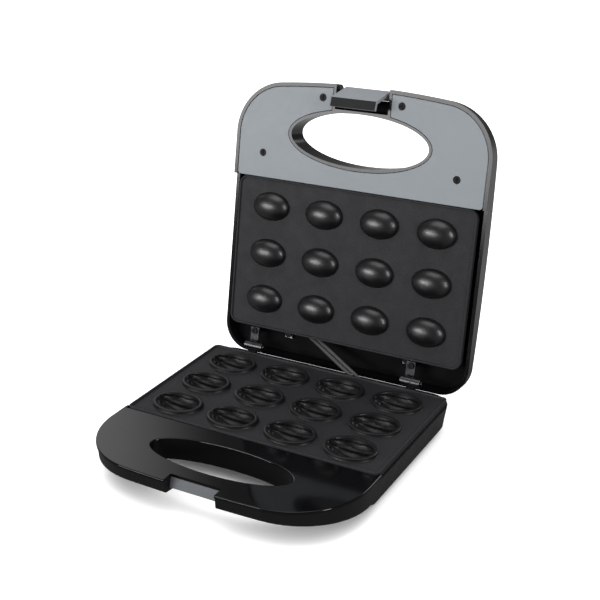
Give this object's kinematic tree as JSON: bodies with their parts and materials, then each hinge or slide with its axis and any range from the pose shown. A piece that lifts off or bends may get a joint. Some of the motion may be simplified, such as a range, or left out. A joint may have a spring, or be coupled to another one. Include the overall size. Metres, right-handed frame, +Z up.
{
  "type": "walnut cookie mold",
  "caption": "Electric clamshell baking mould with oval half-nut moulds below, matching domes in a hinged lid, grip-hole handles and a swinging latch.",
  "frame": {"origin": "on the table under the middle of the appliance as it stands open", "axes": "+X to the right across the handle, +Y to the back towards the hinge, +Z up"},
  "size_m": [0.236, 0.2904, 0.2626],
  "materials": {
    "black_plastic": "satin black moulding",
    "gloss_black": "polished black",
    "coated_plate": "dark non-stick coating",
    "element_sheath": "dull sheath",
    "tinned_steel": "bright sheet",
    "grey_plastic": "satin grey",
    "grey_panel": "satin grey",
    "grey_shell": "dark grey, satin gloss",
    "foot_rubber": "matt",
    "dark_screw": "blackened",
    "phenolic": "dull",
    "white_nylon": "dull",
    "hinge_steel": "pressed steel",
    "red_lens": "clear red",
    "green_lens": "clear green",
    "lead_sleeve": "woven glass sleeve"
  },
  "bodies": {
    "base": {"base_housing": "black_plastic", "base_handle_cover": "gloss_black", "base_cook_plate": "coated_plate", "base_heating_element": "element_sheath", "base_reflector": "tinned_steel", "catch_block": "grey_plastic", "feet": "foot_rubber", "base_screws": "dark_screw", "thermostat": "phenolic", "thermal_fuse": "element_sheath", "terminal_block": "white_nylon", "cord_gland": "foot_rubber", "base_hinge_bracket_left": "hinge_steel", "base_hinge_bracket_right": "hinge_steel", "hinge_pin_left": "hinge_steel", "hinge_pin_right": "hinge_steel", "base_bracket_screws": "dark_screw", "linking_lead_a": "lead_sleeve", "linking_lead_b": "lead_sleeve"},
    "lid": {"lid_housing": "grey_shell", "lid_handle_panel": "grey_panel", "panel_screws": "dark_screw", "lid_cook_plate": "coated_plate", "lid_reflector": "tinned_steel", "lid_plate_screws": "dark_screw", "lid_reflector_screws": "dark_screw", "lid_heating_element": "element_sheath", "power_lamp_lens": "red_lens", "ready_lamp_lens": "green_lens", "latch_pin": "hinge_steel", "lead_clamp": "phenolic", "lid_hinge_bracket_left": "hinge_steel", "lid_hinge_bracket_right": "hinge_steel", "lid_bracket_screws": "dark_screw"},
    "latch": {"latch_clip": "grey_plastic"}
  },
  "joints": [
    {"name": "lid_hinge", "type": "hinge", "parent": "base", "child": "lid", "pos_m": [0, 0.08326, 0.029], "axis": [1, 0, 0], "range_deg": [0, 100.9], "deforming": ["linking_lead_a", "linking_lead_b"]},
    {"name": "latch_hinge", "type": "hinge", "parent": "lid", "child": "latch", "pos_m": [0, 0.14104, 0.25448], "axis": [1, 0, 0], "range_deg": [-30, 12]}
  ]
}
